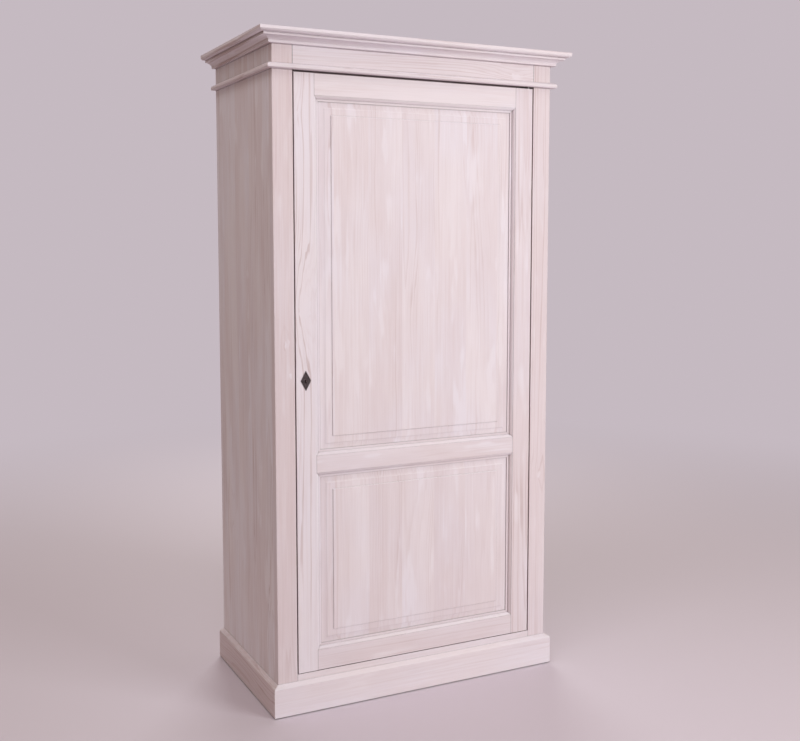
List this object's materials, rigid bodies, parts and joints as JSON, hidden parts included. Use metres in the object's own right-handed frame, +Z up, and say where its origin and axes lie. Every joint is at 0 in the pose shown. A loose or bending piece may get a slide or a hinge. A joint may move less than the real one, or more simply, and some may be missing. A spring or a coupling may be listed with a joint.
{
  "type": "bonnetiere cupboard",
  "caption": "Tall limed pine cupboard with moulded cornice, bead and plinth, shelves, and an inset raised-panel door on pivots with a diamond keyhole plate and lock.",
  "frame": {"origin": "on the floor, below the middle of the whole outline", "axes": "+Z up, +Y from the door towards the back, +X to the hinge side of the door"},
  "size_m": [1.038, 0.579, 2],
  "materials": {
    "limed_pine": "white limed pine, matt",
    "inner_pine": "thinly limed pine, matt",
    "dark_iron": "dark waxed iron",
    "lock_steel": "dull steel",
    "hinge_brass": "aged brass"
  },
  "bodies": {
    "carcass": {"back_board_1": "inner_pine", "back_board_2": "inner_pine", "back_board_3": "inner_pine", "back_board_4": "inner_pine", "back_board_5": "inner_pine", "back_rail": "inner_pine", "back_screws": "lock_steel", "bead_front": "limed_pine", "bead_left": "limed_pine", "bead_right": "limed_pine", "bottom_rail": "limed_pine", "cleat_screws": "lock_steel", "cornice_front": "limed_pine", "cornice_left": "limed_pine", "cornice_right": "limed_pine", "door_stop": "inner_pine", "floor_panel": "inner_pine", "frame_screws": "lock_steel", "frieze_rail": "limed_pine", "front_stile_left": "limed_pine", "front_stile_right": "limed_pine", "glides": "lock_steel", "hinge_frame_leaf_bottom": "hinge_brass", "hinge_frame_leaf_top": "hinge_brass", "hinge_pin_bottom": "lock_steel", "hinge_pin_top": "lock_steel", "hinge_washer": "hinge_brass", "plinth_front": "limed_pine", "plinth_left": "limed_pine", "plinth_right": "limed_pine", "shelf_1": "inner_pine", "shelf_2": "inner_pine", "shelf_3": "inner_pine", "shelf_cleat_left_1": "inner_pine", "shelf_cleat_left_2": "inner_pine", "shelf_cleat_left_3": "inner_pine", "shelf_cleat_right_1": "inner_pine", "shelf_cleat_right_2": "inner_pine", "shelf_cleat_right_3": "inner_pine", "side_panel_left": "limed_pine", "side_panel_right": "limed_pine", "strike_plate": "lock_steel", "top_panel": "inner_pine"},
    "door": {"door_panel_lower": "limed_pine", "door_panel_upper": "limed_pine", "door_rail_bottom": "limed_pine", "door_rail_middle": "limed_pine", "door_rail_top": "limed_pine", "door_screws": "lock_steel", "door_stile_hinge": "limed_pine", "door_stile_lock": "limed_pine", "hinge_door_leaf_top": "hinge_brass", "hinge_door_leaf_bottom": "hinge_brass", "lock_case": "lock_steel", "lock_cover": "lock_steel", "lock_spring": "lock_steel", "escutcheon": "dark_iron", "escutcheon_pins": "dark_iron"},
    "lock_bolt": {"lock_bolt": "lock_steel"}
  },
  "joints": [
    {"name": "door_swing", "type": "hinge", "parent": "carcass", "child": "door", "pos_m": [0.392, -0.2325, 1], "axis": [0, 0, 1], "range_deg": [0, 120]},
    {"name": "bolt_throw", "type": "slide", "parent": "door", "child": "lock_bolt", "axis": [-1, 0, 0], "range_m": [0, 0.01]}
  ]
}
